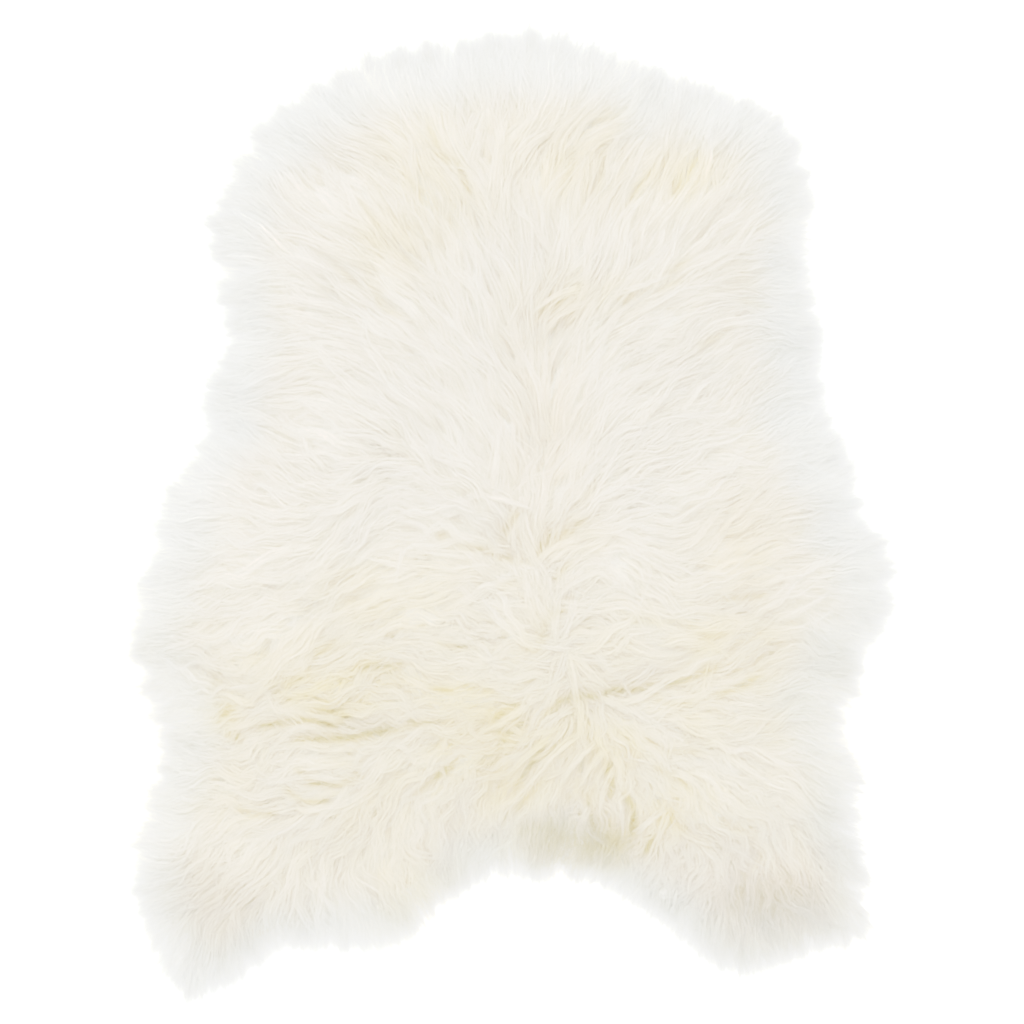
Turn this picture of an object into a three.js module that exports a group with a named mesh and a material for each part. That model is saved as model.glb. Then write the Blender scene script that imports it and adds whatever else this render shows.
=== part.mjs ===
// A long-haired sheepskin rug, lying flat on a floor with its wool side up.
// Millimetres, +Z up, the neck towards +Y. The origin is on the floor, under the middle of the rug.
// The pelt is one solid: a lumpy slab of combed wool on its hide, with loose locks round its rim.
import * as THREE from 'three';

// The fleece
const WOOL_LOFT = 61;
const RIM_HEIGHT = 19;
const SHOULDER_WIDTH = 190;
const SHOULDER_POWER = 2.3;

// The hide under it
const HIDE_THICKNESS = 2;
const HIDE_INSET = 78;
const HIDE_EDGE_SLANT = 0.5;

// The backbone, which leans to the right towards the rump and wanders a little
const SPINE_X = 34;
const SPINE_LEAN = 0.06;
const SPINE_WANDER = 5;
const SPINE_WANDER_LENGTH = 52;
const SPINE_NECK_END = 185;
const SPINE_RUMP_END = -130;

// Wool is combed outward from the backbone: each place on the outline has its root on it, nearer the middle.
const ROOT_SHARE = 0.45;
const PARTING_REACH = 0.03;
const TUFTS_REACH = 0.15;
const PARTING_STEPS = 2;
const PARTING_DEPTH = 7;

// Matted tufts on the slab: crests with valleys between them, each rising to its tip and dropping behind it
const CREST_COUNT = 94;
const RING_COUNT = 11;
const RIDGE_SLOPE = 0.5;
const WIDEST_RIDGE = 17;
const FLATTEST_RIDGE = 0.6;
const STEEPEST_RIDGE = 1.6;
const RELIEF_AT_RIM = 0.3;
const TUFT_LENGTH = 105;
const TUFT_TIP_RISE = 12;
const TUFT_TIP_SLOPE = 0.8;
const TUFT_TIP_SHARE = 0.76;
const TUFT_SWAY = 0.3;
const SWAY_LENGTH = 150;
const SWAY_FULL_RING = 3;
const COLUMN_JITTER = 0.5;

// Loose locks round the rim: each crest goes on as a three-sided lock that lies level on the floor
const LOCK_REACH = 36;
const LOCK_SHORTEST = 0.58;
const LOCK_LONGEST = 1.04;
const LOCK_BEND = 1.1;
const VALLEY_INSET = 18;
const VALLEY_DROP = 8;
const LOWEST_RIM = 9;
const RIM_UNDERSIDE = 4;
const LOCK_STATIONS = [
  { place: 'off the slab', past: 0.3, width: 0.86, bottom: 1.5, height: 14 },
  { place: 'on the floor', past: 0.68, width: 0.56, bottom: 0, height: 7.5 },
  { place: 'tip', past: 1, width: 0.1, bottom: 0, height: 1.8 },
];

// The outline that the tips of the wool reach, clockwise from the neck
const OUTLINE = [
  { place: 'neck crest', x: 0, y: 536 },
  { place: 'neck, right of the crest', x: 82, y: 529 },
  { place: 'neck, right slope', x: 195, y: 483 },
  { place: 'neck, right corner', x: 282, y: 459 },
  { place: 'right corner, lower end', x: 326, y: 405 },
  { place: 'right shoulder bulge', x: 344, y: 348 },
  { place: 'right shoulder dip', x: 323, y: 284 },
  { place: 'right chest', x: 344, y: 232 },
  { place: 'right waist', x: 342, y: 134 },
  { place: 'right flank, upper end', x: 377, y: 72 },
  { place: 'right flank', x: 404, y: -18 },
  { place: 'right flank tuft, top', x: 428, y: -56 },
  { place: 'right flank tuft, bottom', x: 424, y: -98 },
  { place: 'right flank, lower end', x: 392, y: -160 },
  { place: 'right hip dip', x: 369, y: -250 },
  { place: 'right thigh', x: 396, y: -305 },
  { place: 'right leg, outside', x: 390, y: -392 },
  { place: 'right foot, outer corner', x: 390, y: -462 },
  { place: 'right foot, middle', x: 320, y: -495 },
  { place: 'right foot, inner corner', x: 237, y: -508 },
  { place: 'right leg, inside', x: 150, y: -441 },
  { place: 'rump, right', x: 92, y: -413 },
  { place: 'rump, middle', x: -6, y: -402 },
  { place: 'rump, left', x: -84, y: -425 },
  { place: 'left foot, inner corner', x: -150, y: -486 },
  { place: 'left foot, middle', x: -228, y: -485 },
  { place: 'left foot, inner dip', x: -258, y: -486 },
  { place: 'left foot, inner tip', x: -322, y: -524 },
  { place: 'left foot, outer tip', x: -366, y: -536 },
  { place: 'left foot, outer corner', x: -405, y: -478 },
  { place: 'left leg, outside', x: -420, y: -390 },
  { place: 'left thigh', x: -398, y: -303 },
  { place: 'left hip dip', x: -387, y: -248 },
  { place: 'left flank, lower end', x: -413, y: -196 },
  { place: 'left flank tuft', x: -428, y: -136 },
  { place: 'left flank', x: -411, y: -58 },
  { place: 'left flank, upper end', x: -392, y: 22 },
  { place: 'left waist step', x: -352, y: 64 },
  { place: 'left waist', x: -345, y: 128 },
  { place: 'left chest', x: -320, y: 205 },
  { place: 'left shoulder dip', x: -334, y: 272 },
  { place: 'left shoulder', x: -332, y: 342 },
  { place: 'left shoulder bulge', x: -296, y: 424 },
  { place: 'neck, left corner', x: -258, y: 462 },
  { place: 'neck, left slope', x: -154, y: 512 },
  { place: 'neck, left of the crest', x: -80, y: 527 },
];

// Creases where the wool parts: the middle, the length, the turn from +X, the depth and the half width
const CREASES = [
  { place: 'shoulder fold', x: 194, y: 380, length: 110, turn: 62, depth: 15, width: 15 },
  { place: 'right chest fold', x: 285, y: 232, length: 120, turn: -14, depth: 11, width: 15 },
  { place: 'loin whorl, left arm', x: -30, y: -36, length: 90, turn: -28, depth: 13, width: 14 },
  { place: 'loin whorl, right arm', x: 45, y: -25, length: 90, turn: 32, depth: 13, width: 14 },
  { place: 'left hip crease', x: -170, y: -238, length: 270, turn: 6, depth: 16, width: 17 },
  { place: 'right hip crease', x: 140, y: -196, length: 250, turn: 12, depth: 15, width: 16 },
  { place: 'left flank knot', x: -318, y: -212, length: 90, turn: -70, depth: 13, width: 17 },
  { place: 'left leg fold', x: -190, y: -375, length: 220, turn: 42, depth: 13, width: 18 },
  { place: 'curl behind the right hip', x: 162, y: -310, length: 130, turn: -64, depth: 14, width: 16 },
  { place: 'rump hollow', x: 60, y: -365, length: 220, turn: -10, depth: 16, width: 30 },
  { place: 'right leg hollow', x: 250, y: -435, length: 200, turn: -14, depth: 14, width: 34 },
];

// Broad swells and sinks of the fleece, larger than its tufts
const SWELLS = [
  { place: 'neck', x: 0, y: 360, radius: 190, rise: 5 },
  { place: 'left flank', x: -210, y: 40, radius: 150, rise: 5 },
  { place: 'right flank', x: 230, y: -40, radius: 150, rise: 4 },
  { place: 'loin', x: 40, y: -120, radius: 110, rise: 7 },
  { place: 'left thigh', x: -250, y: -320, radius: 110, rise: 6 },
  { place: 'right thigh', x: 240, y: -330, radius: 110, rise: 5 },
  { place: 'waist', x: 15, y: 120, radius: 120, rise: -5 },
];

const { clamp, lerp, degToRad, euclideanModulo } = THREE.MathUtils;

// Each kind of unevenness has its own row of repeatable numbers.
const UNEVEN = {
  ridgeHeight: 3,
  columnTurn: 5,
  valleyInset: 6,
  tuftPhase: 7,
  partingDepth: 9,
  firstTuft: 10,
  swayPhase: 11,
  lockLength: 13,
  lockBend: 14,
};

// A repeatable number from 0 to 1, so that no two tufts or locks are alike
function scatter(index, kind) {
  const mixed = Math.sin(index * 12.9898 + kind * 78.233 + 4.1) * 43758.5453;
  return mixed - Math.floor(mixed);
}

const outlineCurve = new THREE.CatmullRomCurve3(
  OUTLINE.map(({ x, y }) => new THREE.Vector3(x, y, 0)),
  true,
  'centripetal',
);
outlineCurve.arcLengthDivisions = 2000;

function spineX(y) {
  return SPINE_X - SPINE_LEAN * y + SPINE_WANDER * Math.sin(y / SPINE_WANDER_LENGTH);
}

// The way that wool is combed towards one place on the outline: its root, its direction and its length
function combing(turn) {
  const tip = outlineCurve.getPointAt(euclideanModulo(turn, 1));
  const rootY = clamp(tip.y * ROOT_SHARE, SPINE_RUMP_END, SPINE_NECK_END);
  const root = new THREE.Vector3(spineX(rootY), rootY, 0);
  const direction = tip.clone().sub(root);
  const length = direction.length();
  return { root, direction: direction.divideScalar(length), length };
}

// How squarely the wool is combed over the outline: 1 straight across it, 0 along it
function squareness(turn) {
  const along = outlineCurve.getTangentAt(euclideanModulo(turn, 1));
  return combing(turn).direction.clone().cross(along).length();
}

// Crests and valleys alternate round the rug: each has its own combing line, a little unevenly spaced.
// Where the wool runs along the outline, as inside the legs, they are even, so that none cross.
const columns = Array.from({ length: CREST_COUNT * 2 }, (_, index) => {
  const unevenness = squareness(index / (CREST_COUNT * 2)) ** 4;
  const jitter = COLUMN_JITTER * unevenness * (scatter(index, UNEVEN.columnTurn) - 0.5);
  const valleyInset = VALLEY_INSET * unevenness * scatter(index, UNEVEN.valleyInset);
  const isCrest = index % 2 === 1;
  return {
    index,
    isCrest,
    crest: Math.floor(index / 2),
    turn: (index + jitter) / (CREST_COUNT * 2),
    rimInset: LOCK_REACH + (isCrest ? 0 : valleyInset),
  };
});

function columnPoint({ turn, rimInset }, share, sway = 0) {
  const { root, direction, length } = combing(turn + sway / columns.length);
  return root.addScaledVector(direction, share * (length - rimInset));
}

const slabRim = columns.map((column) => columnPoint(column, 1));

// How far a point lies inside the slab's rim, as the nearest distance to it
function insideRim(point) {
  let nearest = Infinity;
  slabRim.forEach((corner, index) => {
    const next = slabRim[(index + 1) % slabRim.length];
    const side = next.clone().sub(corner);
    const share = clamp(point.clone().sub(corner).dot(side) / side.lengthSq(), 0, 1);
    nearest = Math.min(nearest, corner.clone().addScaledVector(side, share).distanceTo(point));
  });
  return nearest;
}

function creaseDepth(point) {
  return CREASES.reduce((deepest, { x, y, length, turn, depth, width }) => {
    const angle = degToRad(turn);
    const away = new THREE.Vector2(point.x - x, point.y - y);
    const along = (away.x * Math.cos(angle) + away.y * Math.sin(angle)) / (length / 2);
    const across = (away.y * Math.cos(angle) - away.x * Math.sin(angle)) / width;
    const trough = depth * Math.exp(-across * across) * Math.exp(-(along ** 4));
    return Math.max(deepest, trough);
  }, 0);
}

function swell(point) {
  return SWELLS.reduce((total, { x, y, radius, rise }) => {
    const away = Math.hypot(point.x - x, point.y - y) / radius;
    return total + rise * Math.exp(-away * away);
  }, 0);
}

// A tuft rises slowly to its tip along the combing, and drops quickly behind it.
function tuftRise(crest, distance) {
  const phase = euclideanModulo(distance / TUFT_LENGTH + scatter(crest, UNEVEN.tuftPhase), 1);
  if (phase < TUFT_TIP_SHARE) return phase / TUFT_TIP_SHARE;
  return (1 - phase) / (1 - TUFT_TIP_SHARE);
}

function fleeceHeight(point, { crest, isCrest }, distance, spacing) {
  const climb = clamp(insideRim(point) / SHOULDER_WIDTH, 0, 1);
  const loft = lerp(RIM_HEIGHT, WOOL_LOFT, 1 - (1 - climb) ** SHOULDER_POWER);
  const steepness = lerp(FLATTEST_RIDGE, STEEPEST_RIDGE, scatter(crest, UNEVEN.ridgeHeight));
  const ridge = (isCrest ? 0.5 : -0.5) * RIDGE_SLOPE * steepness * spacing;
  const tuft = (tuftRise(crest, distance) - 0.5) * Math.min(spacing * TUFT_TIP_SLOPE, TUFT_TIP_RISE);
  const relief = tuft + swell(point) - creaseDepth(point);
  return loft + ridge + relief * lerp(RELIEF_AT_RIM, 1, climb);
}

// The wool lies lower in the parting along the backbone, and rises from there to the first tufts.
function partingRing(step) {
  const share = step / PARTING_STEPS;
  return columns.map((column) => {
    const point = columnPoint(column, lerp(PARTING_REACH, TUFTS_REACH, share));
    const depth = PARTING_DEPTH * (1 - share) * (0.5 + scatter(column.index, UNEVEN.partingDepth));
    const tuft = PARTING_DEPTH * share * (scatter(column.crest, UNEVEN.firstTuft) - 0.5);
    return point.setZ(WOOL_LOFT + swell(point) + tuft - depth - creaseDepth(point));
  });
}

function fleeceRing(ring) {
  const share = lerp(TUFTS_REACH, 1, ring / (RING_COUNT - 1));
  const sway = TUFT_SWAY * Math.min(ring / SWAY_FULL_RING, 1) * (1 - share ** 6);
  const points = columns.map((column) => {
    const distance = share * combing(column.turn).length;
    const phase = distance / SWAY_LENGTH + scatter(column.crest, UNEVEN.swayPhase);
    return columnPoint(column, share, sway * Math.sin(2 * Math.PI * phase));
  });
  return points.map((point, index) => {
    const before = points.at(index - 1);
    const after = points[(index + 1) % points.length];
    const spacing = Math.min(before.distanceTo(after) / 2, WIDEST_RIDGE);
    const distance = share * combing(columns[index].turn).length;
    const height = fleeceHeight(point, columns[index], distance, spacing);
    const drop = columns[index].isCrest ? 0 : VALLEY_DROP * share ** 8;
    return point.clone().setZ(Math.max(height - drop, LOWEST_RIM));
  });
}

function undersideRing(inset, height) {
  return columns.map(({ turn }) => {
    const { root, direction, length } = combing(turn);
    return root.addScaledVector(direction, length - inset).setZ(height);
  });
}

// The left, ridge and right corners of a lock's section at one station on its way out
function lockSection(crest, { past, width, bottom, height }) {
  const column = columns[crest * 2 + 1];
  const lengthShare = lerp(LOCK_SHORTEST, LOCK_LONGEST, Math.sqrt(scatter(crest, UNEVEN.lockLength)));
  const reach = LOCK_REACH * lengthShare;
  const bend = LOCK_BEND * (scatter(crest, UNEVEN.lockBend) - 0.5) * past ** 1.5;
  const { root, direction, length } = combing(column.turn + bend / columns.length);
  const middle = root.addScaledVector(direction, length - LOCK_REACH + past * reach);
  const left = slabRim[crest * 2];
  const right = slabRim[(crest * 2 + 2) % slabRim.length];
  const halfWidth = left.distanceTo(right) * width / 2;
  const sideways = new THREE.Vector3(-direction.y, direction.x, 0).multiplyScalar(halfWidth);
  return [
    middle.clone().add(sideways).setZ(bottom),
    middle.clone().setZ(height),
    middle.clone().sub(sideways).setZ(bottom),
  ];
}

// The faces between two rings of one mesh, the second ring outside the first
function bridgeFaces(innerStart, outerStart, count) {
  return Array.from({ length: count }, (_, column) => {
    const next = (column + 1) % count;
    return [
      [innerStart + column, innerStart + next, outerStart + column],
      [innerStart + next, outerStart + next, outerStart + column],
    ];
  }).flat(2);
}

// The faces that fill a ring, seen from above
function fillFaces(ring, start) {
  const plan = ring.map(({ x, y }) => new THREE.Vector2(x, y));
  return THREE.ShapeUtils.triangulateShape(plan, []).map((face) => face.map((corner) => start + corner));
}

// Adds one lock to the mesh: it grows out of the rim's three upper and three lower points at its crest.
function addLock(points, faces, crest, upperRim, lowerRim) {
  const [topLeft, topRidge, topRight] = upperRim;
  const [lowLeft, lowMiddle, lowRight] = lowerRim;
  const nextCorners = () => [points.length, points.length + 1, points.length + 2];
  let [left, ridge, right] = nextCorners();
  points.push(...lockSection(crest, LOCK_STATIONS[0]));
  faces.push(topLeft, topRidge, left, topRidge, ridge, left);
  faces.push(topRidge, topRight, ridge, topRight, right, ridge);
  faces.push(topLeft, left, lowLeft, topRight, lowRight, right);
  faces.push(lowLeft, left, lowMiddle, left, right, lowMiddle, lowMiddle, right, lowRight);
  LOCK_STATIONS.slice(1).forEach((station) => {
    const [outLeft, outRidge, outRight] = nextCorners();
    points.push(...lockSection(crest, station));
    faces.push(left, ridge, outLeft, ridge, outRidge, outLeft);
    faces.push(ridge, right, outRidge, right, outRight, outRidge);
    faces.push(left, outLeft, right, right, outLeft, outRight);
    [left, ridge, right] = [outLeft, outRidge, outRight];
  });
  faces.push(left, ridge, right);
}

// The slab is lofted in rings from the parting out to its rim, and back under to the hide. Its open rim
// is closed by the locks: two neighbours share the upright edge at the valley between them.
function sheepskinGeometry() {
  const upper = [
    ...Array.from({ length: PARTING_STEPS }, (_, step) => partingRing(step)),
    ...Array.from({ length: RING_COUNT }, (_, ring) => fleeceRing(ring)),
  ];
  const lower = [
    slabRim.map((point) => point.clone().setZ(RIM_UNDERSIDE)),
    undersideRing(HIDE_INSET, HIDE_THICKNESS),
    undersideRing(HIDE_INSET + HIDE_EDGE_SLANT, 0),
  ];
  const rings = [...upper, ...lower];
  const count = columns.length;
  const points = rings.flat();
  const faces = fillFaces(upper[0], 0).flat();
  for (let ring = 0; ring + 1 < rings.length; ring += 1) {
    if (ring !== upper.length - 1) faces.push(...bridgeFaces(ring * count, (ring + 1) * count, count));
  }
  const sole = fillFaces(lower.at(-1), (rings.length - 1) * count);
  faces.push(...sole.map(([a, b, c]) => [a, c, b]).flat());

  const upperRimStart = (upper.length - 1) * count;
  const lowerRimStart = upper.length * count;
  for (let crest = 0; crest < CREST_COUNT; crest += 1) {
    const rim = [crest * 2, crest * 2 + 1, (crest * 2 + 2) % count];
    const upperRim = rim.map((column) => upperRimStart + column);
    const lowerRim = rim.map((column) => lowerRimStart + column);
    addLock(points, faces, crest, upperRim, lowerRim);
  }

  const geometry = new THREE.BufferGeometry().setFromPoints(points);
  geometry.setIndex(faces);
  geometry.computeVertexNormals();
  geometry.computeBoundingBox();
  const middle = geometry.boundingBox.getCenter(new THREE.Vector3());
  return geometry.translate(-middle.x, -middle.y, 0);
}

const wool = new THREE.MeshStandardMaterial({ color: 0xf3f0e8, roughness: 0.9, metalness: 0 });
const sheepskin = new THREE.Mesh(sheepskinGeometry(), wool);
sheepskin.name = 'sheepskin';

const rug = new THREE.Group();
rug.add(sheepskin);

export default rug;
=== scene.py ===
import math

import bpy
import numpy as np
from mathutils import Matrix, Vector
from mathutils.bvhtree import BVHTree


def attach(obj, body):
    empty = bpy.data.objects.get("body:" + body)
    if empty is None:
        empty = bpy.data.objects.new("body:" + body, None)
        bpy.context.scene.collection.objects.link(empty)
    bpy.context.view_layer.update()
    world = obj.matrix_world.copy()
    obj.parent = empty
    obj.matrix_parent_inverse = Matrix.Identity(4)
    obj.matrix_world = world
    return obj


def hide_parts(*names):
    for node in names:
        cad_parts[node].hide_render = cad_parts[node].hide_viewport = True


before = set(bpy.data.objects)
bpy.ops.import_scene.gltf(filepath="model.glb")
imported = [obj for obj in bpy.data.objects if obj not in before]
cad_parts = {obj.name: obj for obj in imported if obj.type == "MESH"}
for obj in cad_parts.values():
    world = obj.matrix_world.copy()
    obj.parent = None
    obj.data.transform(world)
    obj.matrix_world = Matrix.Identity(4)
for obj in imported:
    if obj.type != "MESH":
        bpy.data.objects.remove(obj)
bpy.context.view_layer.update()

# A long-haired sheepskin rug, lying flat with its wool side up: a tanned hide, a dense underwool on it,
# and a fleece of long locks of many fine ribbons of wool. Metres, +Z up, the neck towards +Y.

MM = 0.001
SEED = 20

# The photograph is seen from straight above. The side of one of its pixels on the rug, the pixel across and
# down that lies over the rug's middle, and the photograph's side in pixels
PIXEL = 1.1 * MM
PICTURE_MIDDLE = 515
PICTURE_SIDE = 1024

# The maps over the rug's plan: their pitch, and how far they reach from its middle
PITCH = 3 * MM
MAP_X = 0.5
MAP_Y = 0.6
FAR_INSIDE = 0.2  # depths in the rug are measured up to this
HIDE_INSET = 45 * MM  # the hide ends at least this far inside the wool's rim
TINY = 1e-9

# The fleece: locks of a few strands each, single strands and wisps at the rim, and locks over bare places.
# A strand is a flat ribbon of so many segments.
LOCKS = 3200
STRANDS_A_LOCK = 17
STRAIGHT_SEGMENTS = 6
WAVY_SEGMENTS = 8
RIM_SEGMENTS = 4
WAVY_FROM = 0.4  # the curliness from which a lock's strands get the segments of wavy ones
RIM_STRANDS = 13000
RIM_TURN = 26 * MM  # the outer band in which the wool turns outward
RIM_BAND = (4 * MM, 50 * MM)  # how deep inside the rim its single strands have their roots
RIM_WISPS = 1500
FILLERS = 260
BARE_BELOW = 0.65  # share of the usual cover
LOCK_POINTS = 33  # steps along a lock's middle line

# Ranges of the locks' and strands' measures, in millimetres
LOCK_LENGTH = (85, 140)
FILLER_LENGTH = (60, 95)
SINGLE_LENGTH = 90
LOCK_WIDTH = (11, 23)
SINGLE_WIDTH = 2
TIP_WIDTH = (1.5, 6)
LOOSE_TIP = 2
TRIMMED_TIP = 3.4  # a trimmed lock's tip is so many times as wide
LOCK_DEPTH = (2.5, 6)
LOCK_LAYER = (-4.5, 3.5)
LOOSE_LAYER = 4.5
LOCK_HUMP = (0, 3.5)
LOCK_TIP_LIFT = (0, 5)
LOCK_PAST_RIM = (-8, 12)
SINGLE_PAST_RIM = (-3, 27)  # the least, and what is added to it at most
WAVE_LENGTH = (42, 90)
WAVE_SIZE = (0.6, 2.4)
CURLY_WAVE_SIZE = (2, 7)
FRIZZ_LENGTH = (18, 45)
FRIZZ_SIZE = (0.15, 0.7)
STRAND_WIDTH = {"fleece": (0.38, 0.95), "rim": (0.35, 0.7), "wisp": (0.3, 0.5)}
ROOT_DEPTH = {"fleece": (6, 14), "rim": (3, 6), "wisp": (6, 14)}

# Where along its lock a strand ends, as a share of the lock's length
STRAND_END = {"fleece": (0.66, 1.04), "rim": (0.97, 1.03), "wisp": (1.0, 1.1)}

FLEECE_PIECES = ("neck", "shoulder", "waist", "loin", "rump", "legs")

# Where the wool's tips point, read at places in the photograph: pixel across, pixel down, and
# degrees from the right, turning anticlockwise
COMBING = (
    # neck and left shoulder
    (480, 60, 98), (410, 70, 108), (340, 105, 118), (280, 150, 130), (245, 200, 142), (235, 250, 156),
    (310, 170, 126), (370, 157, 168), (415, 182, 116), (455, 172, 134), (340, 230, 132), (374, 220, 120),
    (330, 268, 143), (438, 212, 124), (405, 258, 130), (300, 300, 162), (380, 300, 140), (450, 260, 112),
    (500, 120, 93), (500, 200, 92), (512, 270, 95), (470, 310, 112), (430, 320, 140),
    # neck and right shoulder
    (545, 60, 84), (600, 80, 72), (660, 90, 62), (715, 115, 52), (765, 150, 42), (790, 200, 24),
    (798, 250, 6), (560, 130, 56), (592, 119, 18), (625, 124, 8), (650, 150, 60), (565, 175, 64),
    (605, 195, 70), (640, 190, 58), (690, 172, 64), (735, 180, 50), (660, 235, 60), (705, 250, 52),
    (590, 235, 86), (622, 250, 80), (676, 272, 44), (740, 240, 34), (555, 300, 38), (640, 305, 34),
    (700, 300, 22), (755, 300, 352), (800, 312, 350), (545, 240, 92),
    # waist
    (240, 335, 176), (265, 362, 186), (310, 357, 178), (372, 355, 156), (345, 404, 168), (400, 405, 152),
    (425, 432, 130), (436, 458, 120), (458, 372, 134), (472, 412, 116), (492, 385, 122), (515, 395, 128),
    (225, 420, 176), (290, 440, 158), (325, 432, 166), (255, 440, 140), (335, 468, 148), (505, 450, 112),
    (530, 440, 96), (555, 400, 88), (585, 372, 76), (602, 392, 62), (640, 362, 42), (690, 368, 27),
    (660, 342, 32), (745, 350, 20), (800, 380, 10), (655, 415, 32), (705, 440, 17), (758, 412, 34),
    (600, 460, 58), (572, 480, 74), (545, 490, 92), (690, 503, 20), (742, 500, 42), (722, 464, 2),
    (820, 430, 12), (650, 470, 26),
    # loin and flanks
    (445, 488, 174), (385, 482, 188), (358, 512, 250), (262, 504, 178), (200, 505, 184), (430, 532, 172),
    (480, 530, 150), (380, 548, 204), (400, 566, 190), (300, 552, 196), (250, 568, 180), (175, 570, 184),
    (510, 545, 120), (570, 515, 38), (600, 528, 24), (645, 528, 358), (575, 547, 10), (560, 572, 48),
    (636, 574, 318), (730, 566, 27), (690, 582, 12), (790, 560, 8), (850, 580, 0), (862, 500, 6),
    (365, 600, 206), (410, 585, 180), (470, 590, 176), (230, 618, 206), (165, 625, 178), (335, 642, 214),
    (280, 665, 224), (385, 628, 202), (450, 642, 170), (500, 620, 160), (560, 612, 32), (610, 630, 12),
    (660, 617, 345), (722, 608, 24), (775, 600, 2), (770, 628, 12), (798, 640, 300), (740, 655, 30),
    (690, 660, 30), (855, 640, 354), (600, 668, 350), (640, 684, 8), (720, 685, 16), (785, 662, 32),
    # rump
    (255, 700, 200), (228, 690, 120), (235, 722, 250), (310, 706, 178), (362, 692, 240), (405, 690, 60),
    (385, 712, 170), (470, 690, 174), (280, 724, 190), (340, 737, 186), (420, 718, 196), (470, 722, 178),
    (225, 762, 156), (290, 748, 250), (325, 757, 176), (305, 795, 166), (260, 800, 176), (165, 720, 188),
    (460, 752, 192), (400, 768, 216), (440, 776, 232), (500, 742, 216), (530, 718, 206), (520, 780, 236),
    (552, 745, 238), (568, 782, 248), (600, 700, 12), (650, 702, 350), (715, 708, 12), (765, 722, 15),
    (690, 752, 0), (812, 730, 322), (845, 760, 340), (622, 726, 320), (640, 750, 282), (600, 770, 262),
    (640, 780, 320), (672, 776, 338), (708, 786, 285), (740, 770, 345), (780, 770, 330),
    # legs
    (400, 808, 252), (352, 830, 226), (382, 835, 266), (440, 825, 266), (472, 808, 254), (215, 828, 232),
    (180, 800, 200), (205, 862, 226), (300, 835, 234), (245, 892, 220), (300, 900, 262), (345, 915, 298),
    (382, 900, 290), (412, 885, 300), (400, 930, 296), (335, 935, 276), (180, 950, 252), (212, 975, 266),
    (160, 890, 206), (148, 840, 190), (250, 950, 268), (590, 812, 276), (612, 832, 286), (530, 830, 262),
    (650, 832, 236), (672, 862, 264), (700, 828, 340), (735, 820, 325), (758, 850, 248), (795, 848, 300),
    (828, 880, 292), (700, 900, 266), (800, 920, 282), (850, 895, 302), (850, 810, 338), (760, 950, 274),
    (655, 895, 244), (500, 850, 262), (530, 860, 266), (560, 862, 270), (590, 856, 274), (620, 868, 272),
    (545, 838, 268), (570, 838, 271),
    # the middle of the loin, where the wool parts
    (540, 600, 150), (545, 640, 185), (560, 665, 200), (530, 620, 170), (575, 640, 350), (520, 665, 192),
    (540, 690, 214), (570, 690, 240), (590, 650, 2), (520, 580, 140), (550, 520, 60),
)
COMBING_RADIUS = 24

# The backbone, from which the wool is combed outward where no place above is near: pixels
BACKBONE = ((520, 330), (545, 470), (540, 560), (555, 690))

# Where the wool is wavy or curled: pixel across, pixel down, radius in pixels, and how much
CURLY = (
    (230, 705, 45, 1.0), (310, 735, 75, 0.9), (390, 705, 70, 0.8), (520, 640, 120, 0.6),
    (500, 740, 110, 0.8), (620, 760, 75, 1.0), (690, 800, 70, 1.0), (440, 820, 90, 0.7),
    (580, 810, 90, 0.6), (700, 640, 120, 0.5), (760, 850, 90, 0.6), (500, 540, 60, 0.7),
    (300, 620, 120, 0.5), (370, 860, 100, 0.5), (250, 800, 100, 0.5), (690, 490, 100, 0.4),
    (340, 430, 140, 0.3), (610, 590, 90, 0.5),
)

# Warm zones of the wool: pixel across, pixel down, half width, half height, and how much cream and peach
CREAM = (
    (470, 725, 340, 120, 0.72, 0.0), (350, 690, 130, 50, 0.85, 0.0), (520, 775, 110, 60, 0.75, 0.0),
    (400, 600, 90, 50, 0.6, 0.0), (735, 650, 55, 50, 0.85, 0.1), (740, 550, 45, 60, 0.45, 0.3),
    (578, 842, 80, 36, 1.0, 0.0), (420, 880, 50, 60, 0.5, 0.1), (200, 890, 50, 50, 0.25, 0.3),
    (790, 905, 70, 50, 0.3, 0.7), (240, 800, 70, 60, 0.35, 0.1), (690, 800, 80, 50, 0.65, 0.0),
    (310, 665, 110, 36, 0.95, 0.0), (560, 165, 150, 60, 0.45, 0.1), (440, 175, 75, 60, 0.5, 0.1),
    (682, 172, 42, 42, 0.6, 0.1), (405, 240, 55, 42, 0.5, 0.15), (575, 300, 55, 28, 0.45, 0.1),
    (545, 430, 40, 130, 0.1, 0.45), (230, 715, 36, 36, 0.9, 0.1), (600, 125, 60, 20, 0.4, 0.1),
    (560, 540, 60, 25, 0.35, 0.1),
)

# Zones painted darker, partly a stain in the wool and partly painted shade where the fleece falls away from
# the light at the notch, the legs and the lower body: pixel across, pixel down, half width, half height,
# and the share of light lost
STAIN_AND_PAINTED_SHADE = (
    (576, 844, 70, 32, 0.22), (765, 908, 85, 45, 0.2), (210, 915, 60, 50, 0.14), (450, 770, 330, 90, 0.04),
    (840, 850, 40, 60, 0.12), (730, 840, 90, 36, 0.12), (530, 735, 90, 50, 0.03),
)
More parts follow.
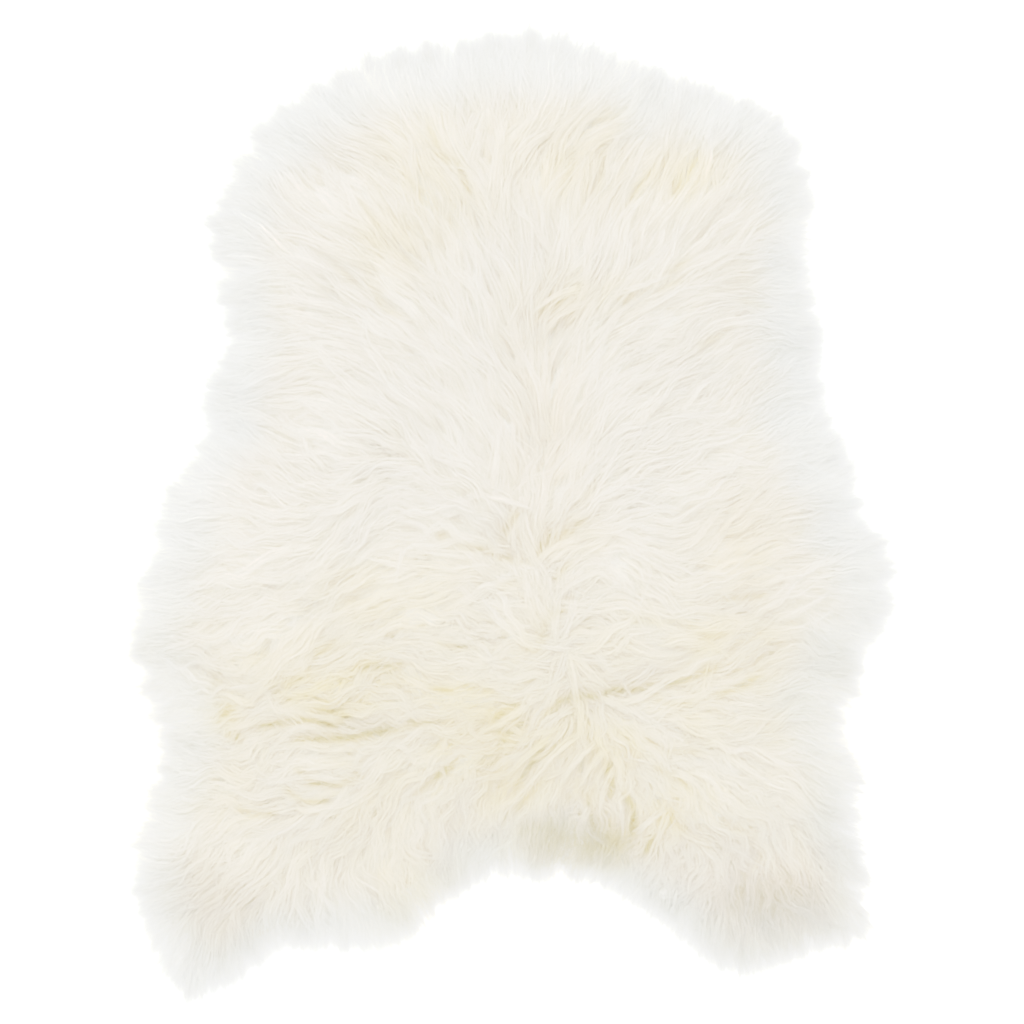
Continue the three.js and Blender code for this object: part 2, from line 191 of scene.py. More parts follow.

# Creases where the wool parts: the locks sink into them, and there the wool is painted darker and warmer,
# partly the warmer wool of the depth and partly painted shade: half width in pixels, how deep, then the
# places that the crease runs through, pixels across and down
CREASES = (
    # neck and shoulders
    (3, 0.8, 696, 158, 688, 175, 680, 188, 672, 200), (3, 0.5, 605, 138, 600, 185, 594, 200),
    (3, 0.7, 628, 206, 640, 186, 652, 174), (3, 0.5, 427, 125, 437, 148),
    (3, 0.7, 440, 160, 458, 167, 470, 198), (3, 0.5, 408, 178, 418, 196), (3, 0.5, 362, 205, 380, 230),
    (3, 0.5, 434, 204, 446, 220, 462, 236), (3, 0.4, 400, 255, 415, 272), (3, 0.6, 664, 276, 686, 264),
    (3, 0.6, 658, 293, 682, 282), (3, 0.8, 536, 318, 562, 302, 576, 290),
    (3, 0.6, 374, 288, 384, 312, 400, 318), (3, 0.4, 335, 264, 356, 286), (3, 0.5, 700, 346, 728, 330),
    (3, 0.5, 744, 300, 762, 305), (3, 0.4, 572, 172, 560, 192),
    # the whorl
    (2.6, 0.85, 537, 553, 546, 541, 562, 535, 582, 520), (3, 0.7, 458, 546, 480, 548, 500, 557, 526, 561),
    (4, 0.7, 502, 541, 506, 528, 519, 512), (4, 0.7, 441, 536, 450, 534), (3, 0.6, 500, 586, 522, 577),
    (3, 0.7, 567, 563, 555, 578), (3, 0.6, 586, 496, 594, 488),
    # loin
    (2.6, 0.9, 558, 698, 580, 693, 598, 694, 610, 688, 642, 687, 666, 681),
    (3, 0.8, 666, 681, 690, 676, 716, 665), (3, 0.7, 544, 711, 564, 697),
    (3, 0.8, 490, 717, 504, 707, 518, 702), (3, 0.8, 434, 686, 452, 688), (3, 0.6, 466, 683, 492, 689),
    (3, 1.0, 718, 692, 740, 686, 756, 677), (3, 0.5, 640, 685, 664, 702, 690, 700),
    (3, 0.6, 440, 642, 478, 646), (3, 0.7, 722, 598, 762, 594), (3, 0.5, 700, 635, 726, 632),
    (4, 0.4, 630, 618, 690, 622), (3, 0.5, 540, 640, 547, 617, 562, 608),
    # left of the rump
    (3, 1.1, 260, 726, 286, 721, 300, 717, 316, 719, 336, 722), (3, 1.1, 298, 738, 340, 737, 382, 731),
    (3, 0.7, 314, 708, 336, 708, 352, 713), (4, 1.2, 222, 718, 230, 706), (4, 0.8, 230, 733, 241, 739),
    (3, 0.6, 214, 688, 219, 672), (3, 0.7, 384, 732, 410, 724, 432, 720), (3, 0.5, 280, 690, 302, 676),
    (3, 0.5, 318, 652, 336, 642), (3, 0.6, 358, 666, 406, 662),
    (3, 0.8, 300, 764, 314, 778, 342, 781, 362, 772), (3, 0.8, 290, 784, 305, 797, 332, 797),
    (3, 0.7, 240, 806, 258, 812, 276, 809), (4, 0.6, 420, 788, 430, 780),
    # curls over the notch
    (3, 1.1, 606, 761, 610, 778, 609, 793), (3, 1.2, 624, 790, 632, 805, 633, 831),
    (3, 0.6, 587, 794, 594, 831), (4, 1.3, 661, 820, 669, 813), (3, 0.7, 654, 764, 676, 775, 696, 793),
    (3, 0.5, 646, 736, 662, 748, 692, 748), (3, 0.7, 590, 761, 600, 750),
    (3, 0.6, 516, 786, 530, 765, 540, 740), (3, 0.7, 518, 806, 530, 790, 541, 782),
    (4, 0.9, 438, 773, 456, 764), (3, 0.6, 496, 723, 506, 738),
    (10, 0.4, 562, 838, 576, 847, 592, 851, 616, 846), (6, 0.35, 556, 862, 600, 867, 628, 864),
    (8, 0.25, 522, 832, 552, 824), (3, 1.0, 647, 849, 656, 834), (3, 0.6, 681, 824, 690, 835, 706, 840),
    (3, 0.4, 718, 817, 738, 826), (3, 0.4, 700, 784, 713, 797), (3, 0.4, 744, 872, 762, 850),
)

# Single locks that lie over the others: half width in pixels, then the places from root to tip
LOOSE_LOCKS = (
    (4, 592, 290, 566, 296, 545, 306, 528, 322), (3, 529, 215, 531, 240, 530, 262, 525, 282),
    (6, 668, 196, 674, 178, 682, 160, 700, 146), (4, 655, 205, 662, 182, 672, 162, 690, 148),
    (4, 484, 496, 504, 500, 524, 506, 544, 516), (4, 516, 556, 512, 540, 516, 526, 526, 512),
    (4, 536, 562, 548, 550, 570, 540, 596, 532), (3, 668, 524, 685, 512, 706, 500, 722, 496),
    (3, 712, 542, 724, 524, 742, 508, 756, 488), (3, 690, 580, 708, 571, 724, 562, 744, 557),
    (7, 604, 690, 590, 680, 572, 681, 556, 688), (4, 612, 700, 640, 694, 668, 676, 700, 668),
    (5, 575, 704, 560, 712, 548, 722, 536, 736), (4, 530, 702, 512, 712, 496, 722, 480, 727),
    (7, 336, 733, 316, 724, 298, 726, 286, 738), (4, 340, 744, 318, 743, 300, 742, 290, 748),
    (4, 262, 716, 245, 724, 230, 730, 220, 737), (4, 262, 698, 244, 700, 230, 694, 214, 700),
    (4, 352, 720, 334, 716, 318, 712, 306, 706), (3, 236, 690, 224, 686, 214, 694, 212, 712),
    (5, 642, 762, 628, 772, 630, 788, 642, 802), (4, 628, 838, 642, 824, 656, 812, 672, 804),
    (4, 660, 768, 684, 772, 700, 786, 704, 806), (4, 682, 768, 704, 772, 716, 784, 718, 802),
    (4, 672, 822, 686, 832, 706, 838, 728, 836), (4, 612, 742, 596, 754, 586, 770, 576, 794),
    (4, 600, 736, 580, 752, 566, 770, 556, 796), (4, 616, 762, 604, 782, 600, 804, 604, 826),
    (4, 618, 792, 620, 812, 622, 830, 620, 846), (4, 580, 730, 556, 748, 536, 772, 520, 800),
    (4, 560, 726, 536, 744, 516, 764, 498, 790), (5, 520, 772, 498, 774, 476, 779, 456, 790),
    (5, 300, 800, 318, 803, 336, 800, 352, 802), (4, 668, 806, 660, 826, 654, 842, 648, 864),
    (5, 400, 745, 384, 752, 368, 764, 360, 782), (4, 590, 800, 584, 816, 580, 832, 584, 846),
)
LOOSE_STRANDS = 16

# Where the wool reaches farther past the hide than elsewhere, or less far: pixel across, pixel down, radius
# in pixels, and how much in millimetres
REACH = (
    (480, 50, 120, 5), (680, 80, 40, 6), (760, 115, 25, 7), (785, 145, 35, 2), (235, 345, 25, 5),
    (815, 335, 55, 7), (845, 460, 45, 6), (858, 670, 35, 7), (148, 930, 55, 8), (850, 920, 60, 8),
    (740, 962, 40, 4), (885, 550, 14, 8), (892, 602, 11, 7), (882, 632, 11, 13), (866, 780, 16, 10),
    (814, 197, 10, 12), (130, 660, 22, 2), (182, 992, 16, 4), (170, 490, 25, 3), (218, 228, 38, 4),
    (155, 575, 30, 2), (160, 710, 20, 2), (170, 775, 25, 4), (375, 66, 30, 5), (512, 40, 20, 4),
    (663, 920, 45, -10), (703, 962, 18, -9), (266, 962, 40, -15), (640, 902, 30, -4), (240, 165, 20, -3),
    (803, 228, 22, -6), (878, 578, 10, -7), (852, 808, 14, -6), (138, 615, 18, -4), (296, 108, 25, 3),
    (218, 290, 20, -4), (206, 400, 30, -3), (157, 522, 16, -6), (134, 655, 18, 4), (136, 868, 20, -5),
    (145, 925, 25, 4), (845, 700, 20, 5), (886, 632, 10, 5), (822, 358, 18, 4), (728, 970, 20, 4),
    (860, 945, 20, 4), (790, 140, 15, -3),
)

# Colours, linear
WHITE_WOOL = np.array((0.967, 0.904, 0.806))
RIM_WOOL = np.array((0.955, 0.952, 0.91))
CREAM_WOOL = np.array((0.95, 0.836, 0.60))
PEACH_WOOL = np.array((0.95, 0.84, 0.71))
TIP_WOOL = np.array((0.972, 0.938, 0.87))
ROOT_WOOL = np.array((0.94, 0.86, 0.69))
# painted shade in the creases, partly the warmer wool deep in the fleece
CREASE_PAINTED_SHADE = np.array((0.82, 0.71, 0.46))
# the underwool's colours are darker than the locks' wool as painted shade of the deep fleece, mottled at
# random between them
UNDERWOOL_DARK = (0.72, 0.67, 0.56, 1)
UNDERWOOL_PALE = (0.86, 0.83, 0.75, 1)
HIDE_PALE = (0.74, 0.62, 0.47, 1)
HIDE_DARK = (0.58, 0.46, 0.33, 1)

scene = bpy.context.scene
rng = np.random.default_rng(SEED)


def from_picture(across, down):
    """A place in the photograph, in the rug's frame."""
    return (np.asarray(across) - PICTURE_MIDDLE) * PIXEL, (PICTURE_MIDDLE - np.asarray(down)) * PIXEL


# ---- Maps over the rug's plan ----

map_x = np.arange(-MAP_X, MAP_X + PITCH / 2, PITCH)
map_y = np.arange(-MAP_Y, MAP_Y + PITCH / 2, PITCH)
grid_x, grid_y = np.meshgrid(map_x, map_y, indexing="ij")


def blur(values, radius):
    """The map smoothed by a Gaussian of that radius in metres."""
    steps = int(math.ceil(3 * radius / PITCH))
    kernel = np.exp(-0.5 * (np.arange(-steps, steps + 1) * PITCH / radius) ** 2)
    kernel /= kernel.sum()
    padded = np.pad(values, steps, mode="edge")
    rows = sum(k * padded[i:i + values.shape[0], :] for i, k in enumerate(kernel))
    return sum(k * rows[:, i:i + values.shape[1]] for i, k in enumerate(kernel))


def read_map(values, x, y):
    """The map's value at each place, between its grid points."""
    u = np.clip((x + MAP_X) / PITCH, 0, len(map_x) - 1.001)
    v = np.clip((y + MAP_Y) / PITCH, 0, len(map_y) - 1.001)
    i, j = u.astype(int), v.astype(int)
    s, t = u - i, v - j
    return ((1 - s) * (1 - t) * values[i, j] + s * (1 - t) * values[i + 1, j]
            + (1 - s) * t * values[i, j + 1] + s * t * values[i + 1, j + 1])


def smoothstep(low, high, values):
    t = np.clip((values - low) / (high - low), 0, 1)
    return t * t * (3 - 2 * t)


def smooth_noise(radius, seed):
    """A random map, from about -2 to 2, of bumps about that wide."""
    values = blur(np.random.default_rng(seed).standard_normal(grid_x.shape), radius)
    return values / values.std()


def distance_inside(inside):
    """How far each grid point lies inside the region, negative outside it."""
    edge = inside & ~(np.roll(inside, 1, 0) & np.roll(inside, -1, 0)
                      & np.roll(inside, 1, 1) & np.roll(inside, -1, 1))
    edge_x, edge_y = grid_x[edge], grid_y[edge]
    nearest = np.full(grid_x.shape, FAR_INSIDE)
    for start in range(0, edge_x.size, 64):
        some_x, some_y = edge_x[start:start + 64], edge_y[start:start + 64]
        away = np.hypot(grid_x[..., None] - some_x, grid_y[..., None] - some_y)
        nearest = np.minimum(nearest, away.min(-1))
    return np.where(inside, nearest, -nearest)


def spot_at(across, down, radius):
    """A map of one round place in the photograph, 1 at its middle."""
    x, y = from_picture(across, down)
    return np.exp(-((grid_x - x) ** 2 + (grid_y - y) ** 2) / (radius * PIXEL) ** 2)


def zone_at(across, down, half_width, half_height):
    """A map of one oval place in the photograph, 1 at its middle."""
    x, y = from_picture(across, down)
    along_x, along_y = (grid_x - x) / (half_width * PIXEL), (grid_y - y) / (half_height * PIXEL)
    return np.exp(-along_x ** 2 - along_y ** 2)


def unit(x, y):
    size = np.maximum(np.hypot(x, y), TINY)
    return x / size, y / size


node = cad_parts["sheepskin"]
solid = BVHTree.FromPolygons(
    [v.co[:] for v in node.data.vertices], [tuple(p.vertices) for p in node.data.polygons]
)
rug_top = np.zeros(grid_x.shape)
on_hide = np.zeros(grid_x.shape, bool)
for i, x in enumerate(map_x):
    for j, y in enumerate(map_y):
        hit = solid.ray_cast(Vector((x, y, 1)), Vector((0, 0, -1)))[0]
        if hit is not None:
            rug_top[i, j] = hit.z
            under = solid.ray_cast(Vector((x, y, -1)), Vector((0, 0, 1)))[0]
            on_hide[i, j] = under is not None and under.z < MM

in_rug = distance_inside(rug_top > 0)
on_hide &= in_rug > HIDE_INSET  # the tips of the solid's rim locks lie on the floor too
in_hide = distance_inside(on_hide)
rug_edge = blur(in_rug, 5 * MM)
for across, down, radius, amount in REACH:
    rug_edge += amount * MM * spot_at(across, down, radius)
fleece_top = blur(rug_top, 11 * MM)
edge_gx, edge_gy = np.gradient(blur(in_rug, 16 * MM), PITCH)

# The way the wool lies
place_x, place_y, place_turn = np.array(COMBING, float).T
place_x, place_y = from_picture(place_x, place_y)
place_turn = np.radians(place_turn)
away = np.hypot(grid_x[..., None] - place_x, grid_y[..., None] - place_y) / (COMBING_RADIUS * PIXEL)
weight = np.exp(-away ** 2) + 0.02 * np.exp(-(away / 3) ** 2)
bone_x, bone_y = from_picture(*np.array(BACKBONE, float).T)
order = np.argsort(bone_y)
root_y = np.clip(grid_y * 0.5, bone_y.min(), bone_y.max())
root_x = np.interp(root_y, bone_y[order], bone_x[order])
out_x, out_y = grid_x - root_x, grid_y - root_y
out_length = np.maximum(np.hypot(out_x, out_y), PITCH)
flow_x = (weight * np.cos(place_turn)).sum(-1) + 0.01 * out_x / out_length
flow_y = (weight * np.sin(place_turn)).sum(-1) + 0.01 * out_y / out_length
# the wool turns outward over the rim
rim_share = np.clip(1 - in_rug / RIM_TURN, 0, 1)
flow_x, flow_y = unit(flow_x, flow_y)
edge_size = np.maximum(np.hypot(edge_gx, edge_gy), TINY)
flow_x = flow_x - 0.8 * rim_share * edge_gx / edge_size
flow_y = flow_y - 0.8 * rim_share * edge_gy / edge_size
flow_x, flow_y = (blur(part, 5 * MM) for part in unit(flow_x, flow_y))
# no bald spot where the readings part: there the lie is evened out
for _ in range(3):
    parting = np.gradient(flow_x, PITCH, axis=0) + np.gradient(flow_y, PITCH, axis=1)
    even = smoothstep(8, 28, blur(np.maximum(parting, 0), 8 * MM))
    flow_x += (blur(flow_x, 22 * MM) - flow_x) * even
    flow_y += (blur(flow_y, 22 * MM) - flow_y) * even

# Maps of the tables' places
curliness, cream, peach, stain_and_painted_shade, crease = (np.zeros(grid_x.shape) for _ in range(5))
for across, down, radius, amount in CURLY:
    curliness = np.maximum(curliness, amount * spot_at(across, down, radius))
for across, down, half_width, half_height, cream_amount, peach_amount in CREAM:
    zone = zone_at(across, down, half_width, half_height)
    cream = np.maximum(cream, cream_amount * zone)
    peach = np.maximum(peach, peach_amount * zone)
for across, down, half_width, half_height, amount in STAIN_AND_PAINTED_SHADE:
    stain_and_painted_shade = np.maximum(stain_and_painted_shade, amount * zone_at(across, down, half_width, half_height))
for half_width, depth, *places in CREASES:
    line_x, line_y = from_picture(places[0::2], places[1::2])
    for ax, ay, bx, by in zip(line_x, line_y, line_x[1:], line_y[1:]):
        run = (bx - ax) ** 2 + (by - ay) ** 2
        t = np.clip(((grid_x - ax) * (bx - ax) + (grid_y - ay) * (by - ay)) / run, 0, 1)
        off = np.hypot(grid_x - ax - t * (bx - ax), grid_y - ay - t * (by - ay))
        crease = np.maximum(crease, depth * np.exp(-(off / (half_width * PIXEL)) ** 2))
tuft_turn = smooth_noise(16 * MM, 31)
tuft_lift = smooth_noise(14 * MM, 32)
broad_turn = smooth_noise(45 * MM, 33)


# ---- Locks ----

ROW_STEP = 0.866  # the spacing of the rows of an even triangular grid


def lock_roots(spacing):
    """Roots of the locks: an uneven grid over the hide and a little past its edge."""
    xs = np.arange(-MAP_X, MAP_X, spacing)
    ys = np.arange(-MAP_Y, MAP_Y, spacing * ROW_STEP)
    x, y = np.meshgrid(xs, ys, indexing="ij")
    x = x + (np.arange(len(ys)) % 2) * spacing / 2
    x = (x + rng.uniform(-0.42, 0.42, x.shape) * spacing).ravel()
    y = (y + rng.uniform(-0.42, 0.42, y.shape) * spacing).ravel()
    kept = read_map(in_hide, x, y) > -14 * MM
    return x[kept], y[kept]


def comb(x, y, turn, length):
    """Points along the wool's lie from each root, each turned a little from it."""
    px, py, step = [x], [y], length / LOCK_POINTS
    for _ in range(LOCK_POINTS):
        fx, fy = read_map(flow_x, px[-1], py[-1]), read_map(flow_y, px[-1], py[-1])
        angle = np.arctan2(fy, fx) + turn
        px.append(px[-1] + step * np.cos(angle))
        py.append(py[-1] + step * np.sin(angle))
    return np.stack(px, 1), np.stack(py, 1)


# Wool spreads apart at the backbone and the whorls: more locks start there, nearer the surface.
spread = np.gradient(flow_x, PITCH, axis=0) + np.gradient(flow_y, PITCH, axis=1)
spread = np.clip(blur(spread, 7 * MM) * 30 * MM, 0, 1.3)

hide_area = on_hide.sum() * PITCH ** 2
root_x, root_y = lock_roots(math.sqrt(hide_area / (1.9 * LOCKS) / ROW_STEP))
chance = 1 + 3.2 * read_map(spread, root_x, root_y) + 1.2 * (read_map(in_hide, root_x, root_y) < 22 * MM)
pick = np.sort(rng.choice(root_x.size, LOCKS, replace=False, p=chance / chance.sum()))
root_x, root_y = root_x[pick], root_y[pick]
# single strands that fill the rim: places tried at random, of which those in the band are kept
TRIES = 40 * RIM_STRANDS
rim_x, rim_y = rng.uniform(-MAP_X, MAP_X, TRIES), rng.uniform(-MAP_Y, MAP_Y, TRIES)
depth = read_map(rug_edge, rim_x, rim_y)
in_band = np.flatnonzero((depth > RIM_BAND[0]) & (depth < RIM_BAND[1]))[:RIM_STRANDS]
root_x, root_y = np.append(root_x, rim_x[in_band]), np.append(root_y, rim_y[in_band])
is_single = np.arange(root_x.size) >= LOCKS
ALL_LOCKS = root_x.size
here_spread = read_map(spread, root_x, root_y)
here_curly = read_map(curliness, root_x, root_y)
near_edge = 1 - smoothstep(0, 60 * MM, read_map(in_hide, root_x, root_y))
lock_length = rng.uniform(*LOCK_LENGTH, ALL_LOCKS) * MM * (1 - 0.2 * here_curly) * (1 + 0.3 * near_edge)
lock_length[is_single] = SINGLE_LENGTH * MM
lock_turn = 0.15 * rng.standard_normal(ALL_LOCKS) + 0.14 * read_map(tuft_turn, root_x, root_y)
lock_turn += 0.07 * read_map(broad_turn, root_x, root_y)
lock_turn += here_spread * rng.uniform(-0.75, 0.75, ALL_LOCKS)
along = np.linspace(0, 1, LOCK_POINTS + 1)
mid_x, mid_y = comb(root_x, root_y, lock_turn, lock_length)


def resample(values, share):
    """Each row read at share of its length."""
    place = np.clip(share * LOCK_POINTS, 0, LOCK_POINTS - 1e-6)
    i = place.astype(int)
    t = place - i
    return np.take_along_axis(values, i, 1) * (1 - t) + np.take_along_axis(values, i + 1, 1) * t


# waves along a lock, and its tip curled to one side
wave_length = rng.uniform(*WAVE_LENGTH, ALL_LOCKS) * MM * (1 - 0.42 * here_curly)
wave_size = rng.uniform(*WAVE_SIZE, ALL_LOCKS)
wave_size = (wave_size + rng.uniform(*CURLY_WAVE_SIZE, ALL_LOCKS) * here_curly) * MM
wave_size[is_single] *= 0.5
wave_start = rng.uniform(0, 2 * math.pi, ALL_LOCKS)
curl = rng.standard_normal(ALL_LOCKS) * (0.10 + 0.55 * here_curly)
curl[is_single] *= 0.6
distance = along[None, :] * lock_length[:, None]
wave_phase = 2 * math.pi * distance / wave_length[:, None] + wave_start[:, None]
sideways = (np.sin(wave_phase) - np.sin(wave_start)[:, None]) * wave_size[:, None]
sideways = sideways * smoothstep(0, 0.3, along)[None, :]
sideways += curl[:, None] * lock_length[:, None] * smoothstep(0.45, 1.3, along)[None, :] ** 1.5
tangent_x, tangent_y = unit(np.gradient(mid_x, axis=1), np.gradient(mid_y, axis=1))
mid_x, mid_y = mid_x - sideways * tangent_y, mid_y + sideways * tangent_x

# a lock that would pass the rim is cut back, so that its tip ends near it
past_rim = rng.uniform(*LOCK_PAST_RIM, ALL_LOCKS) * MM
least, more = SINGLE_PAST_RIM
past_rim[is_single] = (least + more * rng.random(is_single.sum()) ** 1.3) * MM
beyond = -read_map(rug_edge, mid_x, mid_y) > past_rim[:, None]
beyond[:, :LOCK_POINTS // 8] = False
first = np.where(beyond.any(1), beyond.argmax(1), LOCK_POINTS)
kept_share = np.clip(first / LOCK_POINTS, 0.125, 1)
lock_length = lock_length * kept_share
mid_x = resample(mid_x, along[None, :] * kept_share[:, None])
mid_y = resample(mid_y, along[None, :] * kept_share[:, None])

# locks that lie across the places which the others leave bare
cover = np.zeros(grid_x.shape)
lain = (along > 0.15)[None, :] & ~is_single[:, None]
cell_x = np.clip(((mid_x[lain] + MAP_X) / PITCH).round().astype(int), 0, len(map_x) - 1)
cell_y = np.clip(((mid_y[lain] + MAP_Y) / PITCH).round().astype(int), 0, len(map_y) - 1)
np.add.at(cover, (cell_x, cell_y), 1)
cover = blur(cover, 7 * MM)
bare = np.clip(BARE_BELOW - cover / np.median(cover[in_rug > 60 * MM]), 0, 1) * (in_rug > 30 * MM)
where = rng.choice(bare.size, FILLERS, p=bare.ravel() / bare.sum())
angle = np.arctan2(blur(flow_y, 20 * MM), blur(flow_x, 20 * MM)).ravel()[where]
angle += rng.uniform(-0.5, 0.5, FILLERS)
reach = rng.uniform(*FILLER_LENGTH, FILLERS) * MM
bend = rng.uniform(-5, 5, FILLERS)[:, None] * MM * np.sin(along * rng.uniform(2, 6, FILLERS)[:, None])
passed = (along[None, :] - rng.uniform(0.4, 0.6, FILLERS)[:, None]) * reach[:, None]
fill_x = grid_x.ravel()[where][:, None] + passed * np.cos(angle)[:, None] - bend * np.sin(angle)[:, None]
fill_y = grid_y.ravel()[where][:, None] + passed * np.sin(angle)[:, None] + bend * np.cos(angle)[:, None]

# the single locks that lie on top
fit = np.polynomial.Polynomial.fit
loose_x, loose_y, loose_reach = [], [], []
for _, *places in LOOSE_LOCKS:
    line_x, line_y = from_picture(places[0::2], places[1::2])
    run = np.append(0, np.cumsum(np.hypot(np.diff(line_x), np.diff(line_y))))
    loose_x.append(fit(run / run[-1], line_x, 3)(along))
    loose_y.append(fit(run / run[-1], line_y, 3)(along))
    loose_reach.append(run[-1])
mid_x, mid_y = np.concatenate([mid_x, fill_x, loose_x]), np.concatenate([mid_y, fill_y, loose_y])
lock_length = np.concatenate([lock_length, reach, loose_reach])
root_x, root_y = mid_x[:, 0], mid_y[:, 0]
added = root_x.size - ALL_LOCKS
kept_share = np.append(kept_share, np.ones(added))
is_single = np.append(is_single, np.zeros(added, bool))
ALL_LOCKS += added
is_loose = np.arange(ALL_LOCKS) >= ALL_LOCKS - len(LOOSE_LOCKS)
here_spread, here_curly = read_map(spread, root_x, root_y), read_map(curliness, root_x, root_y)

lock_width = rng.uniform(*LOCK_WIDTH, ALL_LOCKS) * MM
lock_width[is_single] = SINGLE_WIDTH * MM
is_trimmed = kept_share < 0.98  # cut back at the rim
tip_width = rng.uniform(*TIP_WIDTH, ALL_LOCKS) * MM * np.where(is_trimmed, TRIMMED_TIP, 1)
lock_depth = rng.uniform(*LOCK_DEPTH, ALL_LOCKS) * MM
lock_layer = (rng.uniform(*LOCK_LAYER, ALL_LOCKS) + 1.5 * read_map(tuft_lift, root_x, root_y)) * MM
lock_hump = rng.uniform(*LOCK_HUMP, ALL_LOCKS) * MM
lock_layer[is_loose] = LOOSE_LAYER * MM
lock_width[is_loose] = [2 * PIXEL * row[0] for row in LOOSE_LOCKS]
tip_width[is_loose] = LOOSE_TIP * MM
lock_tip_lift = rng.uniform(*LOCK_TIP_LIFT, ALL_LOCKS) * MM
lock_tone = rng.random(ALL_LOCKS)

# The dense underwool, between the hide and the locks
UNDERWOOL_INSET = 30 * MM
UNDERWOOL_STEP = 2  # its mesh takes every second place of the maps
UNDERWOOL_FOOT = 2.1 * MM
UNDERWOOL_LEAST = 2.6 * MM
UNDERWOOL_BELOW = 9 * MM  # it lies so far below the fleece's top
underwool_rise = smoothstep(UNDERWOOL_INSET - 6 * MM, UNDERWOOL_INSET + 40 * MM, in_rug)
underwool_top = (fleece_top - UNDERWOOL_BELOW + 1.0 * MM * smooth_noise(7 * MM, 51)) * underwool_rise
underwool_top = np.maximum(underwool_top - 4 * MM * crease, UNDERWOOL_LEAST)

# ---- Strands of the locks ----

ROUND = math.radians(25)  # how far a ribbon's shading turns at its two edges
LEAST_HEIGHT = 0.3 * MM
MOST_PAST_RIM = 23 * MM
CREASE_DEPTH = 6  # millimetres
MOST_COLOUR = 0.975  # no wool reflects more
blotch = 0.5 + 0.5 * np.tanh(smooth_noise(20 * MM, 41))
shade_x, shade_y = np.gradient(blur(rug_top, 24 * MM), PITCH)


